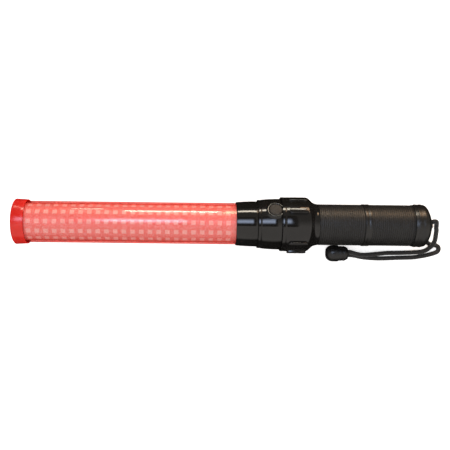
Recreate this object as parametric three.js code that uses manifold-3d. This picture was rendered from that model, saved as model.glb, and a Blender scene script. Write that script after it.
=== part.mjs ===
// A hand-held traffic baton light: a red light tube on a black torch handle with a wrist cord.
// Millimetres, +Z up. The baton lies along X, tip towards -X, and rests on its guard ring at Z = 0.
import * as THREE from "three";
import { mergeVertices } from "three/addons/utils/BufferGeometryUtils.js";
import Module from "manifold-3d";

const wasm = await Module();
wasm.setup();

// ---------------------------------------------------------------- driving dimensions

// Height of the long axis over the table: the lowest rib of the guard ring touches Z = 0.
const AXIS_HEIGHT = 28.93;
const OUTER_SEGMENTS = 36;
const INNER_SEGMENTS = 24;

// Stations along X.
const TIP_END = -207.1;
const TIP_SKIRT_EDGE = -194.8;
const COLLAR_FRONT = 12.1;
const HOUSING_FRONT = 33.4;
const RING_FRONT = 56.4;
const RING_REAR = 81.3;
const GRIP_FRONT = 93.6;
const BAND_FRONT = 137.6;
const BAND_REAR = 144.2;
const GRIP_REAR = 184.9;
const CAP_FRONT = 186.6;

// Light tube and the film inside it.
const TUBE_RADIUS = 20.6;
const TUBE_WALL = 1.5;
const TUBE_START = TIP_END + 3.2;
const TUBE_END = 20.9;
const FILM_RADIUS = 18.75;
const FILM_WALL = 0.45;

// Light-emitting board: one long strip with square lamps on both faces.
const BOARD_WIDTH = 16;
const BOARD_THICKNESS = 1.6;
const LAMP_SIZE = 5;
const LAMP_HEIGHT = 1.6;
const LAMPS_PER_FACE = 8;
const LAMP_PITCH = 26;
const FIRST_LAMP_X = -184;

// Two D-size cells.
const CELL_RADIUS = 17;
const CELL_LENGTH = 61.5;
const CELL_START = 63.4;
const HANDLE_BORE = 17.5;
const HANDLE_RADIUS = 18.75;
const GRIP_RADIUS = 20.35;

// Ribs round the guard ring.
const RING_RADIUS = 26.95;
const RIB_TOP = 28.9;
const RIB_WIDTH = 5.4;
const RIB_LENGTH = 19;
const RIB_CENTRE_X = 72.1;
const RIB_ANGLES = [-62, -28, 44, 80, 116, 152, 188, 224];

// Push switch, pointing away from the axis, turned from +Z towards +Y.
const SWITCH_X = 49.8;
const SWITCH_ANGLE = 33;
const BUTTON_RADIUS = 6.4;
const BUTTON_HOLE = 6.75;

// Swivel eye in the end cap, which the wrist cord passes through.
const EYE_X = 205.6;
const EYE_HALF = 1.7;
const EYE_RADIUS = 3.95;
const EYE_HOLE = 2.65;

// Wrist cord and its lock.
const CORD_RADIUS = 2.3;
const LOCK_Y = -29.3;
const LOCK_HEIGHT = 8.45;
const LOCK_BORE = 4.95;

// Centre line of the cord: out of the lock, along the table, up over the steel eye at the
// baton's end, through it, down behind the end cap, round, and back along the table.
const CORD_ROUTE = [
  [120.4, -27.7, 10.25],
  [125, -27.7, 10.25],
  [129.6, -27.7, 10.2],
  [133.3, -28.25, 9.6],
  [137.4, -29.4, 8.4],
  [142, -30.4, 7.2],
  [147.2, -30.7, 6.7],
  [152.8, -30.3, 6.15],
  [158.2, -29.8, 5.3],
  [163.7, -29.3, 4.1],
  [169.2, -28.8, 2.75],
  [174.6, -28.5, 2.4],
  [184.6, -28.25, 2.4],
  [194.8, -27.85, 2.5],
  [200.2, -27.45, 3.4],
  [205.4, -26.95, 4.6],
  [210, -25.65, 5.7],
  [213.4, -23.1, 7.1],
  [216.2, -20, 9],
  [217.4, -15.6, 12.6],
  [216.6, -11.5, 17.1],
  [215.4, -7.6, 21.6],
  [214.3, -4.2, 25.6],
  [213.2, -2.1, 28],
  [212.4, 0.3, 30.6],
  [211.35, 3.05, 33.65],
  [210.6, 4.05, 35.15],
  [208.75, 4.45, 35.75],
  [207, 4, 35.05],
  [206.1, 2.9, 33.35],
  [205.65, 1.3, 30.9],
  [205.6, 0, 28.93],
  [205.65, -1.5, 26.5],
  [206.7, -3.1, 23.9],
  [208.1, -4.3, 21.4],
  [209.1, -5.7, 18.2],
  [209.5, -8.4, 13.9],
  [209.9, -12, 9.4],
  [211.6, -16, 5.9],
  [215.2, -18.8, 3.6],
  [219, -19.7, 2.6],
  [222.3, -20.1, 2.4],
  [224.6, -21.4, 2.4],
  [225.3, -23.7, 2.4],
  [224.5, -26.1, 2.4],
  [222, -27.7, 2.4],
  [217.4, -29.2, 2.4],
  [211, -30.8, 2.4],
  [205.4, -31.8, 2.4],
  [200.2, -32.6, 2.4],
  [194.8, -33.05, 2.4],
  [184.6, -33.4, 2.4],
  [174.4, -33.9, 2.4],
  [163.8, -34.3, 2.4],
  [153.4, -34, 2.4],
  [147.6, -33.5, 2.4],
  [142.6, -32.7, 2.45],
  [138, -31.7, 3.3],
  [133.4, -31.1, 5.1],
  [129.6, -30.9, 6.5],
  [125, -30.9, 6.65],
  [120.4, -30.9, 6.65],
];
const CORD_STEPS = 150;

// ---------------------------------------------------------------- materials

const plastic = (color, roughness) => new THREE.MeshStandardMaterial({ color, roughness, metalness: 0 });
const metal = (color, roughness) => new THREE.MeshStandardMaterial({ color, roughness, metalness: 1 });
const GLOSS_BLACK = 0x262422;
const RUBBER_BLACK = 0x2c2a29;

// ---------------------------------------------------------------- building blocks

const model = new THREE.Group();
const along = new THREE.Group();
along.position.set(0, 0, AXIS_HEIGHT);
model.add(along);

// A mesh named for its node, added to a group.
function piece(name, geometry, material, parent = along) {
  const mesh = new THREE.Mesh(geometry, material);
  mesh.name = name;
  parent.add(mesh);
  return mesh;
}

// A turned solid about the X axis from [x, radius] points, listed up the outside and back inside.
function turned(points, segments = OUTER_SEGMENTS) {
  const outline = points.map(([x, radius]) => new THREE.Vector2(radius, x));
  const first = points[0];
  const last = points[points.length - 1];
  if (first[1] > 0 || last[1] > 0) {
    outline.push(outline[0].clone());
  }
  const geometry = new THREE.LatheGeometry(outline, segments);
  geometry.rotateZ(-Math.PI / 2);
  return geometry;
}

// A plain ring: four corners turned about X.
function ring(x0, x1, inner, outer, segments = OUTER_SEGMENTS) {
  return turned([[x0, inner], [x0, outer], [x1, outer], [x1, inner]], segments);
}

// A plain disc on the axis.
function disc(x0, x1, radius, segments = INNER_SEGMENTS) {
  return turned([[x0, 0], [x0, radius], [x1, radius], [x1, 0]], segments);
}

// A box by its centre and size.
function block(centre, size) {
  const geometry = new THREE.BoxGeometry(...size);
  geometry.translate(...centre);
  return geometry;
}

// A rod standing along local +Z.
function rod(x, z0, z1, radius, segments = 16) {
  const geometry = new THREE.CylinderGeometry(radius, radius, z1 - z0, segments);
  geometry.rotateX(Math.PI / 2);
  geometry.translate(x, 0, (z0 + z1) / 2);
  return geometry;
}

// A round cord or wire along points.
function cord(points, radius, steps, sides, tension = 0.5) {
  const section = new THREE.Shape();
  for (let i = 0; i < sides; i += 1) {
    const a = (i / sides) * Math.PI * 2;
    const place = [radius * Math.cos(a), radius * Math.sin(a)];
    if (i === 0) {
      section.moveTo(...place);
    } else {
      section.lineTo(...place);
    }
  }
  section.closePath();
  const vectors = points.map((p) => new THREE.Vector3(...p));
  const extrudePath = new THREE.CatmullRomCurve3(vectors, false, "catmullrom", tension);
  return new THREE.ExtrudeGeometry(section, { steps, bevelEnabled: false, extrudePath });
}

// Geometry to a manifold solid and back.
function solid(geometry) {
  const bare = geometry.clone();
  bare.deleteAttribute("normal");
  bare.deleteAttribute("uv");
  const merged = mergeVertices(bare, 1e-4);
  return new wasm.Manifold(new wasm.Mesh({
    numProp: 3,
    vertProperties: new Float32Array(merged.attributes.position.array),
    triVerts: new Uint32Array(merged.index.array),
  }));
}

function shape(manifold) {
  const mesh = manifold.getMesh();
  const geometry = new THREE.BufferGeometry();
  geometry.setAttribute("position", new THREE.BufferAttribute(new Float32Array(mesh.vertProperties), 3));
  geometry.setIndex(Array.from(mesh.triVerts));
  geometry.computeVertexNormals();
  return geometry;
}

// Turns geometry built round +Z so that +Z points out through the push switch.
function towardsSwitch(geometry) {
  return geometry.rotateX(-THREE.MathUtils.degToRad(SWITCH_ANGLE));
}

// ---------------------------------------------------------------- tip and light tube

function tipCap() {
  return turned([
    [TIP_END, 0],
    [TIP_END, 21.9],
    [TIP_END + 0.3, 22.4],
    [TIP_END + 1.0, 22.75],
    [TIP_SKIRT_EDGE, 22.05],
    [TIP_SKIRT_EDGE, TUBE_RADIUS + 0.25],
    [TIP_END + 2.9, TUBE_RADIUS + 0.25],
    [TIP_END + 2.9, 18.75],
    [TIP_END + 8.6, 18.75],
    [TIP_END + 8.6, 17.2],
    [TIP_END + 2.9, 17.2],
    [TIP_END + 2.9, 0],
  ]);
}

piece("tip_cap", tipCap(), plastic(0xd8392f, 0.3));
piece("light_tube", ring(TUBE_START, TUBE_END, TUBE_RADIUS - TUBE_WALL, TUBE_RADIUS), plastic(0xe8564c, 0.15));
piece("prism_film", ring(TIP_END + 8.9, 13.6, FILM_RADIUS - FILM_WALL, FILM_RADIUS), plastic(0xf0a0a0, 0.4));

// A disc with a slot through its middle, which holds the board on the axis.
function slottedDisc(x0, x1, radius) {
  const slot = block([(x0 + x1) / 2, 0, 0], [x1 - x0 + 2, BOARD_WIDTH + 0.6, BOARD_THICKNESS + 0.6]);
  return shape(solid(disc(x0, x1, radius)).subtract(solid(slot)));
}

piece("tip_board_holder", slottedDisc(TIP_END + 9.2, TIP_END + 11.2, 17.9), plastic(0xe8e6e0, 0.5));
piece("head_board_holder", slottedDisc(14, 19.6, 18.7), plastic(0x30302e, 0.5));

const boardStart = TIP_END + 8.8;
const boardEnd = 27;
const boardMiddle = (boardStart + boardEnd) / 2;
const boardSize = [boardEnd - boardStart, BOARD_WIDTH, BOARD_THICKNESS];
piece("lamp_board", block([boardMiddle, 0, 0], boardSize), plastic(0xd9d6cc, 0.5));

for (let i = 0; i < LAMPS_PER_FACE; i += 1) {
  const x = FIRST_LAMP_X + i * LAMP_PITCH;
  const z = BOARD_THICKNESS / 2 + 0.15 + LAMP_HEIGHT / 2;
  const size = [LAMP_SIZE, LAMP_SIZE, LAMP_HEIGHT];
  piece(`upper_lamp_${i + 1}`, block([x, 0, z], size), plastic(0xf4efd8, 0.4));
  piece(`lower_lamp_${i + 1}`, block([x, 0, -z], size), plastic(0xf4efd8, 0.4));
}

piece("tube_gasket", ring(21.2, 22.4, 18.9, 20.55, INNER_SEGMENTS), plastic(0x1c1c1c, 0.8));

// ---------------------------------------------------------------- head

function tubeCollar() {
  return turned([
    [COLLAR_FRONT, 20.85],
    [COLLAR_FRONT, 21.4],
    [COLLAR_FRONT + 0.4, 21.8],
    [21, 22.25],
    [HOUSING_FRONT - 0.3, 22.55],
    [HOUSING_FRONT - 0.3, 18.5],
    [22.7, 18.5],
    [22.7, 20.85],
  ]);
}

piece("tube_collar", tubeCollar(), plastic(GLOSS_BLACK, 0.15));

const HOUSING_REAR = RING_FRONT - 0.3;

function switchHousing() {
  const body = solid(turned([
    [23, 15.2],
    [23, 18.2],
    [HOUSING_FRONT, 18.2],
    [HOUSING_FRONT, 23.6],
    [HOUSING_FRONT + 0.5, 24.0],
    [35.8, 24.15],
    [36.2, 23.8],
    [36.6, 24.25],
    [42.6, 24.85],
    [48.6, 25.15],
    [HOUSING_REAR, 25.3],
    [HOUSING_REAR, 22],
    [36.5, 20.9],
    [36.5, 15.2],
  ]));
  const boss = turned([[19.6, 0], [19.6, 7.7], [25.6, 7.7], [25.6, 0]], INNER_SEGMENTS);
  boss.rotateY(-Math.PI / 2);
  boss.translate(SWITCH_X, 0, 0);
  const bezel = turned([
    [24.2, 0],
    [24.2, 9.6],
    [25.3, 8.4],
    [25.9, 8.0],
    [26.0, 7.5],
    [25.7, 6.9],
    [25.7, 0],
  ], INNER_SEGMENTS);
  bezel.rotateY(-Math.PI / 2);
  bezel.translate(SWITCH_X, 0, 0);
  const clip = block([HOUSING_REAR - 50, 0, 0], [100, 80, 80]);
  const hole = rod(SWITCH_X, 15, 30, BUTTON_HOLE, INNER_SEGMENTS);
  const raised = solid(towardsSwitch(boss)).add(solid(towardsSwitch(bezel)));
  return body.add(raised).intersect(solid(clip)).subtract(solid(towardsSwitch(hole)));
}

piece("switch_housing", shape(switchHousing()), plastic(GLOSS_BLACK, 0.15));

function switchButton() {
  const outline = turned([
    [17.9, 0],
    [17.9, 7.4],
    [19.1, 7.4],
    [19.1, BUTTON_RADIUS],
    [25.6, BUTTON_RADIUS],
    [26.2, 5.9],
    [26.7, 4.4],
    [26.9, 2.4],
    [26.95, 0],
  ], INNER_SEGMENTS);
  outline.rotateY(-Math.PI / 2);
  outline.translate(SWITCH_X, 0, 0);
  return towardsSwitch(outline);
}

piece("switch_button", switchButton(), plastic(0x54504b, 0.7));

const switchBody = solid(block([SWITCH_X, 0, 13.9], [12, 12, 3.8]));
const plungerHole = solid(rod(SWITCH_X, 13, 17, 2.2));
piece("switch_plunger", towardsSwitch(rod(SWITCH_X, 15.6, 17.6, 1.8)), plastic(0xe6e2d8, 0.5));
piece("switch_body", towardsSwitch(shape(switchBody.subtract(plungerHole))), plastic(0x2a2a2a, 0.5));
piece("switch_board", towardsSwitch(block([47.2, 0, 10.9], [16, 17, 1.6])), plastic(0x2f6b45, 0.5));

// Short leads between the boards and the cells' contact.
const LEAD_RADIUS = 0.6;
const leadRed = [[27.4, -4, 0], [31, -4, 0.8], [35, -2.5, 4.5], [39.4, -1, 7.6], [43, 0.4, 8.6]];
const leadBlack = [[27.4, 4, 0], [31, 4, 0.6], [35.5, 5, 3.0], [40, 6.4, 5.0], [43, 7.2, 5.8]];
const leadCell = [[48, 3.5, 6.6], [51, 3.4, 4.6], [54.5, 2, 1.6], [58.4, 0.4, 0.2]];
piece("lamp_lead_red", cord(leadRed, LEAD_RADIUS, 8, 8), plastic(0xb3261e, 0.5));
piece("lamp_lead_black", cord(leadBlack, LEAD_RADIUS, 8, 8), plastic(0x1d1d1d, 0.5));
piece("cell_lead", cord(leadCell, LEAD_RADIUS, 6, 8), plastic(0xb3261e, 0.5));

// ---------------------------------------------------------------- guard ring and handle

// One rib: a long rounded pad standing along local +Z over the ring.
function rib() {
  const half = RIB_LENGTH / 2 - 0.5;
  const round = RIB_WIDTH / 2 - 0.5;
  const outline = new THREE.Shape();
  outline.moveTo(-half + round, -round);
  outline.lineTo(half - round, -round);
  outline.absarc(half - round, 0, round, -Math.PI / 2, Math.PI / 2, false);
  outline.lineTo(-half + round, round);
  outline.absarc(-half + round, 0, round, Math.PI / 2, Math.PI * 1.5, false);
  const depth = 2.4;
  const bevel = 0.5;
  const options = { depth, bevelSize: bevel, bevelThickness: bevel, bevelSegments: 1, curveSegments: 4 };
  const geometry = new THREE.ExtrudeGeometry(outline, options);
  geometry.translate(RIB_CENTRE_X, 0, RIB_TOP - depth - bevel);
  return geometry;
}

function guardRing() {
  let body = solid(turned([
    [RING_FRONT, 23.8],
    [RING_FRONT, 26.2],
    [RING_FRONT + 0.5, RING_RADIUS],
    [59.6, RING_RADIUS],
    [60, 26.3],
    [60.4, RING_RADIUS],
    [RING_REAR, RING_RADIUS],
    [82.3, 26.7],
    [83.4, 26.1],
    [84.6, 25.2],
    [86.1, 23.7],
    [87.6, 22.3],
    [89.2, 21.4],
    [91, 20.8],
    [GRIP_FRONT - 0.3, GRIP_RADIUS],
    [GRIP_FRONT - 0.3, 19],
    [76, 19],
    [76, 23.8],
  ]));
  for (const angle of RIB_ANGLES) {
    const turnedRib = rib().rotateX(THREE.MathUtils.degToRad(angle));
    body = body.add(solid(turnedRib));
  }
  const notch = rod(SWITCH_X, 15, 30, BUTTON_HOLE + 0.1, INNER_SEGMENTS);
  return body.subtract(solid(towardsSwitch(notch)));
}

piece("guard_ring", shape(guardRing()), plastic(GLOSS_BLACK, 0.2));

function handleTube() {
  return turned([
    [58.5, HANDLE_BORE],
    [58.5, HANDLE_RADIUS],
    [BAND_FRONT, HANDLE_RADIUS],
    [BAND_FRONT, 20.5],
    [BAND_FRONT + 0.4, 20.85],
    [140.2, 20.85],
    [140.9, 20.6],
    [141.6, 20.85],
    [BAND_REAR - 0.4, 20.85],
    [BAND_REAR, 20.5],
    [BAND_REAR, HANDLE_RADIUS],
    [196.4, HANDLE_RADIUS],
    [196.4, HANDLE_BORE],
  ]);
}

piece("handle_tube", handleTube(), plastic(0x24221f, 0.3));
piece("front_grip", ring(GRIP_FRONT, BAND_FRONT - 0.3, 18.95, GRIP_RADIUS), plastic(RUBBER_BLACK, 0.8));
piece("rear_grip", ring(BAND_REAR + 0.3, GRIP_REAR, 18.95, GRIP_RADIUS), plastic(RUBBER_BLACK, 0.8));

// ---------------------------------------------------------------- cells and contacts

function cell(start) {
  const nippleEnd = start + 1.5;
  const end = start + CELL_LENGTH;
  return turned([
    [start, 0],
    [start, 4.7],
    [nippleEnd, 4.7],
    [nippleEnd + 0.1, CELL_RADIUS - 0.6],
    [nippleEnd + 0.6, CELL_RADIUS],
    [end - 0.6, CELL_RADIUS],
    [end - 0.1, CELL_RADIUS - 0.6],
    [end, 0],
  ], INNER_SEGMENTS);
}

const secondCellStart = CELL_START + CELL_LENGTH + 0.3;
const cellsEnd = secondCellStart + CELL_LENGTH;
piece("battery_1", cell(CELL_START), metal(0xb9975a, 0.35));
piece("battery_2", cell(secondCellStart), metal(0xb9975a, 0.35));
piece("contact_holder", disc(59, 62, 17.2), plastic(0xe4e0d6, 0.5));
piece("front_contact", disc(62.3, 63.1, 5, 24), metal(0xc8a24a, 0.3));

// A cone-shaped wire spring between the last cell and the end cap.
function coneSpring(x0, x1, r0, r1, turns, wire, stepsPerTurn = 14) {
  const count = Math.round(turns * stepsPerTurn);
  const points = [];
  for (let i = 0; i <= count; i += 1) {
    const t = i / count;
    const a = t * turns * Math.PI * 2;
    const radius = r0 + (r1 - r0) * t;
    points.push([x0 + wire + (x1 - x0 - 2 * wire) * t, radius * Math.cos(a), radius * Math.sin(a)]);
  }
  return cord(points, wire, count, 6);
}

const contactSpring = coneSpring(cellsEnd + 0.3, 197.1, 5.8, 11, 3, 0.6);
piece("contact_spring", contactSpring, metal(0xc9c9c4, 0.3));
piece("rear_contact", ring(197.4, 197.9, 4.4, 15, INNER_SEGMENTS), metal(0xc8a24a, 0.3));

// ---------------------------------------------------------------- end cap

function endCap() {
  return turned([
    [CAP_FRONT, 19],
    [CAP_FRONT, 20.3],
    [CAP_FRONT + 0.4, 20.6],
    [189.2, 20.8],
    [189.9, 21.35],
    [190.9, 21.4],
    [191.7, 21.15],
    [193.8, 21.15],
    [194.8, 21.4],
    [195.8, 21.45],
    [196.8, 21.15],
    [198.4, 20.85],
    [199.6, 20.3],
    [200.7, 19.2],
    [201.8, 17.3],
    [203.2, 14.7],
    [204.4, 11.8],
    [205.2, 9.6],
    [205.1, 9.0],
    [201.1, 8.6],
    [201.1, 2.4],
    [198.2, 2.4],
    [198.2, 19],
  ]);
}

piece("end_cap", endCap(), plastic(0x24221f, 0.25));
piece("cap_seal", turned([
  [185.25, 19.1],
  [185.15, 19.4],
  [185.4, 20.2],
  [186.1, 20.2],
  [186.3, 19.4],
  [186.2, 19.1],
], INNER_SEGMENTS), plastic(0x161616, 0.7));

// Steel swivel eye: a riveted shank with a flat round eye that the cord passes through.
function swivelEye() {
  const shank = turned([
    [196.2, 0],
    [196.2, 3.2],
    [197.9, 3.8],
    [197.9, 2.0],
    [201.4, 2.0],
    [201.4, 3.3],
    [202.4, 3.3],
    [203.4, 2.2],
    [204.2, 1.4],
    [204.2, 0],
  ], 24);
  const flat = rod(EYE_X, -EYE_HALF, EYE_HALF, EYE_RADIUS, INNER_SEGMENTS);
  const hole = rod(EYE_X, -EYE_RADIUS, EYE_RADIUS, EYE_HOLE, INNER_SEGMENTS);
  const eye = solid(flat).add(solid(shank)).subtract(solid(hole));
  return towardsSwitch(shape(eye));
}

piece("lanyard_eye", swivelEye(), metal(0xc4c6c8, 0.3));

// ---------------------------------------------------------------- wrist cord

piece("lanyard_cord", cord(CORD_ROUTE, CORD_RADIUS, CORD_STEPS, 8), plastic(0x242322, 0.9), model);

const lock = new THREE.Group();
lock.position.set(0, LOCK_Y, LOCK_HEIGHT);
model.add(lock);

const lockBarrel = turned([
  [118.2, 0],
  [118.2, 6.4],
  [116, 6.4],
  [116, 7.6],
  [125.2, 7.6],
  [127.2, 6.8],
  [128.8, 5.6],
  [128.8, LOCK_BORE],
  [119.6, LOCK_BORE],
  [119.6, 0],
], INNER_SEGMENTS);
const lockPlunger = turned([
  [107.2, 0],
  [107.5, 2.4],
  [106.8, 3.0],
  [106.9, 4.6],
  [107.8, 6.0],
  [109.3, 7.3],
  [111.3, 8.15],
  [113, 8.4],
  [119, 8.4],
  [119, 7.9],
  [112.6, 7.9],
  [112, 7.3],
  [112, 0],
], INNER_SEGMENTS);
piece("cord_lock_barrel", lockBarrel, plastic(0x201f1e, 0.35), lock);
piece("cord_lock_plunger", lockPlunger, plastic(0x201f1e, 0.35), lock);
const lockSpring = coneSpring(112.3, 117.9, 4.6, 4.6, 2, 0.42, 16);
piece("cord_lock_spring", lockSpring, metal(0xc9c9c4, 0.3), lock);

export default model;
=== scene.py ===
"""A hand-held traffic baton light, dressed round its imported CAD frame.

The baton lies along X with its red tip towards -X. Profiles and sizes are in millimetres, as on a
drawing, and are turned to metres where a mesh is made. A turned piece is an outline of
(station along its axis, radius) points, spun once round.
"""

import logging
import math
from collections.abc import Callable, Sequence
from dataclasses import dataclass, field
from enum import Enum
from itertools import pairwise

import bmesh
import bpy
from mathutils import Matrix, Vector


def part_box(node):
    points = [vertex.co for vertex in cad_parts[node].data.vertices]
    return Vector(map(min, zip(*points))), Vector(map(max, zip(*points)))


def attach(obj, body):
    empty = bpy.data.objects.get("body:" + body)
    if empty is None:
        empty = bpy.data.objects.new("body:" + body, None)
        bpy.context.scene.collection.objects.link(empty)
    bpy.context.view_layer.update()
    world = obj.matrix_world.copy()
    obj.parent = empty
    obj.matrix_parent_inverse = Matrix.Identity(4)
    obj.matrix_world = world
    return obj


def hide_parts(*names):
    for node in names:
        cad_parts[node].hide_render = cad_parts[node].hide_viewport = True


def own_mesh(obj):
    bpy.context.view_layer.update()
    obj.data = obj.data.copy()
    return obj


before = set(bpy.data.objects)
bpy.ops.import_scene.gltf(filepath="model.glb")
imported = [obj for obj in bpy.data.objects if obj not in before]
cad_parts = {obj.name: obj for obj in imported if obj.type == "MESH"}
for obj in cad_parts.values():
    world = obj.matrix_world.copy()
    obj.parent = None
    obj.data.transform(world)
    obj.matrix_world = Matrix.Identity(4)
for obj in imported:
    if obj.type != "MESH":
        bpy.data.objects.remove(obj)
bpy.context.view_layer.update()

log = logging.getLogger("baton")

MM = 0.001
FULL_TURN = 2 * math.pi
WELD = 1e-6
WAVE_FIT = 3.14  # brings a wave texture's period to about its band size

Outline = Sequence[tuple[float, float]]
Point = tuple[float, float, float]
Range = tuple[float, float]
Socket = bpy.types.NodeSocket


class Body(Enum):
    """The CAD bodies that a piece can ride on."""

    HANDLE = "handle"
    BUTTON = "button"
    CARRIAGE = "cap_carriage"
    CAP = "cap"
    LOCK_PLUNGER = "lock_plunger"


def middle_of(node: str) -> Vector:
    """Finds the middle of a CAD node's box.

    Args:
        node: The CAD node's name.

    Returns:
        The middle, in metres.
    """
    low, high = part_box(node)
    return (low + high) / 2


AXIS_HEIGHT = middle_of("light_tube").z
SWITCH_TILT = math.radians(33)
SWITCH_WAY = Vector((0, math.sin(SWITCH_TILT), math.cos(SWITCH_TILT)))


# ---------------------------------------------------------------- modelling


def deselect_all() -> None:
    """Leaves object mode with nothing selected, so that an operator acts only on new work."""
    if bpy.context.object and bpy.context.object.mode != "OBJECT":
        bpy.ops.object.mode_set(mode="OBJECT")
    bpy.ops.object.select_all(action="DESELECT")


def activate(piece: bpy.types.Object) -> None:
    """Makes a piece the only one selected, and active."""
    deselect_all()
    piece.select_set(True)
    bpy.context.view_layer.objects.active = piece


def named(name: str) -> bpy.types.Object:
    """Names the primitive just added, and its mesh, and puts its origin at the frame's.

    Args:
        name: The piece's name.

    Returns:
        The piece.
    """
    piece = bpy.context.object
    piece.name = name
    piece.data.name = name
    bpy.ops.object.transform_apply(location=True, rotation=True, scale=True)
    return piece


def clean(piece: bpy.types.Object) -> None:
    """Merges a mesh's doubles and turns its faces outwards."""
    activate(piece)
    bpy.ops.object.mode_set(mode="EDIT")
    bpy.ops.mesh.select_all(action="SELECT")
    bpy.ops.mesh.remove_doubles(threshold=WELD)
    bpy.ops.mesh.normals_make_consistent(inside=False)
    bpy.ops.object.mode_set(mode="OBJECT")


def apply_modifier(piece: bpy.types.Object, kind: str, **settings: object) -> None:
    """Adds a modifier to a piece and applies it.

    Args:
        piece: The piece.
        kind: The modifier's type.
        **settings: The modifier's own settings.
    """
    activate(piece)
    modifier = piece.modifiers.new(kind.title(), kind)
    for key, value in settings.items():
        setattr(modifier, key, value)
    bpy.ops.object.modifier_apply(modifier=modifier.name)


def soften(piece: bpy.types.Object, width: float, segments: int = 2, over: float = 28) -> None:
    """Rounds a piece's sharp edges with real geometry.

    Args:
        piece: The piece.
        width: The bevel's width in millimetres.
        segments: The faces across a bevel.
        over: The least angle, in degrees, of an edge that is rounded.
    """
    apply_modifier(
        piece,
        "BEVEL",
        width=width * MM,
        segments=segments,
        limit_method="ANGLE",
        angle_limit=math.radians(over),
    )


def smooth(piece: bpy.types.Object, under: float = 35) -> None:
    """Shades a piece smooth, except over edges sharper than an angle in degrees."""
    activate(piece)
    bpy.ops.object.shade_smooth_by_angle(angle=math.radians(under))


def select_parts(piece: bpy.types.Object, kind: str, wanted: Callable[[Vector, Vector], bool]) -> None:
    """Selects faces or edges of the piece in edit mode by their place and direction.

    Args:
        piece: The piece, in edit mode.
        kind: Either "FACE" or "EDGE".
        wanted: Takes a face's middle and normal, or an edge's middle and direction.
    """
    bpy.ops.mesh.select_all(action="DESELECT")
    bpy.ops.mesh.select_mode(type=kind)
    mesh = bmesh.from_edit_mesh(piece.data)
    if kind == "FACE":
        for face in mesh.faces:
            face.select_set(wanted(face.calc_center_median(), face.normal))
    else:
        for edge in mesh.edges:
            start, end = edge.verts[0].co, edge.verts[1].co
            edge.select_set(wanted((start + end) / 2, (end - start).normalized()))
    bmesh.update_edit_mesh(piece.data)


def copy_of(piece: bpy.types.Object, name: str, move: Matrix) -> bpy.types.Object:
    """Copies a finished piece, with a mesh of its own, to another place.

    Args:
        piece: The piece to copy.
        name: The copy's name.
        move: What takes the first piece's mesh to the copy's place.

    Returns:
        The copy.
    """
    twin = piece.copy()
    twin.data = piece.data.copy()
    twin.name = name
    twin.data.name = name
    twin.data.transform(move)
    bpy.context.scene.collection.objects.link(twin)
    return twin


def joined(name: str, pieces: Sequence[bpy.types.Object]) -> bpy.types.Object:
    """Joins pieces into the first one.

    Args:
        name: The name of what comes out.
        pieces: Pieces with nothing between them that moves.

    Returns:
        The joined piece.
    """
    activate(pieces[0])
    for piece in pieces[1:]:
        piece.select_set(True)
    bpy.ops.object.join()
    pieces[0].name = name
    pieces[0].data.name = name
    return pieces[0]


def carve(piece: bpy.types.Object, tool: bpy.types.Object, how: str) -> None:
    """Adds a tool's shape to a piece, or cuts it away, and removes the tool.

    Args:
        piece: The piece.
        tool: The other shape.
        how: The boolean's name, UNION, DIFFERENCE or INTERSECT.
    """
    apply_modifier(piece, "BOOLEAN", object=tool, operation=how, solver="EXACT")
    bpy.data.objects.remove(tool)


@dataclass(frozen=True)
class Lathe:
    """An axis that outlines are spun round."""

    centre: Vector
    along: Vector
    out: Vector
    steps: int = 96

    def at(self, station: float, radius: float) -> Vector:
        """Returns the point of an outline in metres, from its station and radius in millimetres."""
        return self.centre + (self.along * station + self.out * radius) * MM

    def spin(self, name: str, outline: Outline) -> bpy.types.Object:
        """Spins an outline into a closed solid.

        Args:
            name: The piece's name.
            outline: Points from the axis and back to it, or round a ring's section.

        Returns:
            The turned piece.
        """
        points = [self.at(*p) for p in outline]
        if outline[0][1] > 0:
            points.append(points[0])
        deselect_all()
        bpy.ops.mesh.primitive_plane_add(size=MM, location=points[0])
        piece = named(name)
        bpy.ops.object.mode_set(mode="EDIT")
        bpy.ops.mesh.select_mode(type="VERT")
        bpy.ops.mesh.select_all(action="SELECT")
        bpy.ops.mesh.merge(type="CENTER")
        for start, end in pairwise(points):
            bpy.ops.mesh.extrude_vertices_move(TRANSFORM_OT_translate={"value": tuple(end - start)})
        bpy.ops.mesh.select_all(action="SELECT")
        bpy.ops.mesh.spin(steps=self.steps, angle=FULL_TURN, center=self.centre, axis=self.along)
        clean(piece)
        return piece

    def turn(self, name: str, outline: Outline, edge: float = 0.25, segments: int = 2) -> bpy.types.Object:
        """Spins an outline, rounds its sharp edges and shades it.

        Args:
            name: The piece's name.
            outline: The outline, as spin takes it.
            edge: The width of the rounded edges in millimetres.
            segments: The faces across a rounded edge.

        Returns:
            The turned piece.
        """
        piece = self.spin(name, outline)
        soften(piece, edge, segments)
        smooth(piece)
        return piece


X_WAY = Vector((1, 0, 0))
UP = Vector((0, 0, 1))
BATON = Lathe(Vector((0, 0, AXIS_HEIGHT)), X_WAY, UP)


# ---------------------------------------------------------------- materials


def linear(code: str) -> tuple[float, float, float, float]:
    """Turns an sRGB hex colour to linear light.

    Args:
        code: Six hex digits after a hash sign.

    Returns:
        Red, green, blue and a full alpha.
    """
    parts = [int(code[i : i + 2], 16) / 255 for i in (1, 3, 5)]
    lit = [p / 12.92 if p <= 0.04045 else ((p + 0.055) / 1.055) ** 2.4 for p in parts]
    return (*lit, 1.0)


def per_metre(size: float) -> float:
    """Returns the texture scale whose features are about this many millimetres."""
    return 1 / (size * MM)


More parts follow.
